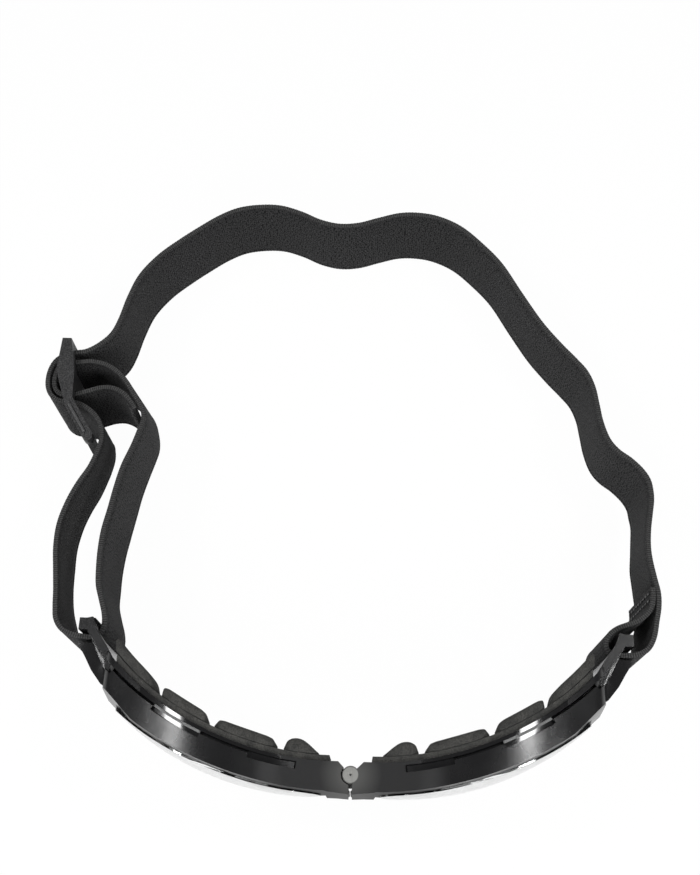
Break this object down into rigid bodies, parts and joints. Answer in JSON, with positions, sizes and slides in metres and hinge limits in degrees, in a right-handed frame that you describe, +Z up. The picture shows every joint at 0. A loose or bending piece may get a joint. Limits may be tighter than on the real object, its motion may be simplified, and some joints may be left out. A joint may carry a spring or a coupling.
{
  "type": "sports goggles",
  "caption": "Folding sports goggles: two framed clear lenses joined by a bridge hinge, with foam face pads and an elastic strap with a slider.",
  "frame": {"origin": "on the surface the goggles stand on, under the middle of their bounding box", "axes": "+Z up along the hinge pin, +Y from the lenses back to the strap, +X to the right as seen from above with the lenses nearest"},
  "size_m": [0.2104, 0.2174, 0.0589],
  "materials": {
    "frame_plastic": "satin black moulded nylon",
    "lens": "polished clear polycarbonate",
    "foam_base": "dense black foam strip",
    "foam_pad": "open-cell charcoal face foam",
    "strap_elastic": "woven black elastic",
    "thread": "black bonded sewing thread",
    "slider_plastic": "black moulded plastic, part matte, part glossy",
    "pin_steel": "plain steel pin"
  },
  "bodies": {
    "left_half": {"frame_left": "frame_plastic", "lens_left": "lens", "foam_base_left": "foam_base", "foam_nose_left": "foam_pad", "foam_brow_left": "foam_pad", "foam_middle_left": "foam_pad", "foam_temple_left": "foam_pad", "foam_corner_left": "foam_pad", "foam_cheek_left": "foam_pad", "foam_lower_nose_left": "foam_pad", "foam_nose_side_left": "foam_pad", "strap_left_loop": "strap_elastic"},
    "right_half": {"frame_right": "frame_plastic", "lens_right": "lens", "foam_base_right": "foam_base", "foam_nose_right": "foam_pad", "foam_brow_right": "foam_pad", "foam_middle_right": "foam_pad", "foam_temple_right": "foam_pad", "foam_corner_right": "foam_pad", "foam_cheek_right": "foam_pad", "foam_lower_nose_right": "foam_pad", "foam_nose_side_right": "foam_pad", "hinge_pin": "pin_steel", "strap_right_loop": "strap_elastic"},
    "left_strands": {"strap_outer_strand": "strap_elastic", "strap_inner_strand": "strap_elastic", "strap_rear_left": "strap_elastic"},
    "slider_unit": {"slider": "slider_plastic", "strap_slider_pass": "strap_elastic", "strap_slider_loop": "strap_elastic", "stitches_slider": "thread"},
    "left_back": {"strap_back_left": "strap_elastic"},
    "middle_back": {"strap_back_middle": "strap_elastic"},
    "seam_back": {"strap_back_seam": "strap_elastic"},
    "right_side": {"strap_right_side": "strap_elastic", "strap_right_end": "strap_elastic", "stitches_right": "thread"},
    "right_rear": {"strap_right_rear": "strap_elastic"},
    "right_corner": {"strap_right_corner": "strap_elastic"},
    "right_back": {"strap_back_right": "strap_elastic"}
  },
  "joints": [
    {"name": "bridge_fold", "type": "hinge", "parent": "left_half", "child": "right_half", "pos_m": [0.00715, -0.1033, 0.0434], "axis": [0, 0, 1], "range_deg": [0, 90]},
    {"name": "left_strap_swing", "type": "hinge", "parent": "left_half", "child": "left_strands", "pos_m": [-0.07585, -0.0608, 0.015], "axis": [0, 0, 1], "range_deg": [0, 56.7], "deforming": ["strap_left_loop"]},
    {"name": "left_strap_rear", "type": "hinge", "parent": "left_strands", "child": "left_back", "pos_m": [-0.07685, 0.0747, 0.015], "axis": [0, 0, 1], "range_deg": [0, 44.8]},
    {"name": "left_strap_middle", "type": "hinge", "parent": "left_back", "child": "middle_back", "pos_m": [-0.02685, 0.1076, 0.015], "axis": [0, 0, 1], "range_deg": [-52.5, 0]},
    {"name": "left_strap_seam", "type": "hinge", "parent": "middle_back", "child": "seam_back", "pos_m": [-0.00385, 0.0999, 0.015], "axis": [0, 0, 1], "range_deg": [-53.1, 0]},
    {"name": "right_strap_swing", "type": "hinge", "parent": "right_half", "child": "right_side", "pos_m": [0.09015, -0.0608, 0.015], "axis": [0, 0, 1], "range_deg": [-51.1, 0], "deforming": ["strap_right_loop"]},
    {"name": "right_strap_rear", "type": "hinge", "parent": "right_side", "child": "right_rear", "pos_m": [0.10215, 0.0005, 0.015], "axis": [0, 0, 1], "range_deg": [0, 42.6]},
    {"name": "right_strap_corner", "type": "hinge", "parent": "right_rear", "child": "right_corner", "pos_m": [0.08665, 0.0397, 0.015], "axis": [0, 0, 1], "range_deg": [-43.5, 0]},
    {"name": "right_strap_back", "type": "hinge", "parent": "right_corner", "child": "right_back", "pos_m": [0.06415, 0.0717, 0.015], "axis": [0, 0, 1], "range_deg": [-43.2, 0]},
    {"name": "slider_slide", "type": "slide", "parent": "left_strands", "child": "slider_unit", "axis": [-0.318, 0.9481, 0], "range_m": [-0.015, 0.015], "deforming": ["strap_outer_strand", "strap_inner_strand", "strap_rear_left"]}
  ],
  "couplings": [
    {"joint": "left_strap_swing", "follows": "bridge_fold", "ratio": 0.6239},
    {"joint": "left_strap_rear", "follows": "bridge_fold", "ratio": 0.4926},
    {"joint": "left_strap_middle", "follows": "bridge_fold", "ratio": -0.5783},
    {"joint": "left_strap_seam", "follows": "bridge_fold", "ratio": -0.5843},
    {"joint": "right_strap_swing", "follows": "bridge_fold", "ratio": -0.5618},
    {"joint": "right_strap_rear", "follows": "bridge_fold", "ratio": 0.4681},
    {"joint": "right_strap_corner", "follows": "bridge_fold", "ratio": -0.4776},
    {"joint": "right_strap_back", "follows": "bridge_fold", "ratio": -0.4748}
  ]
}
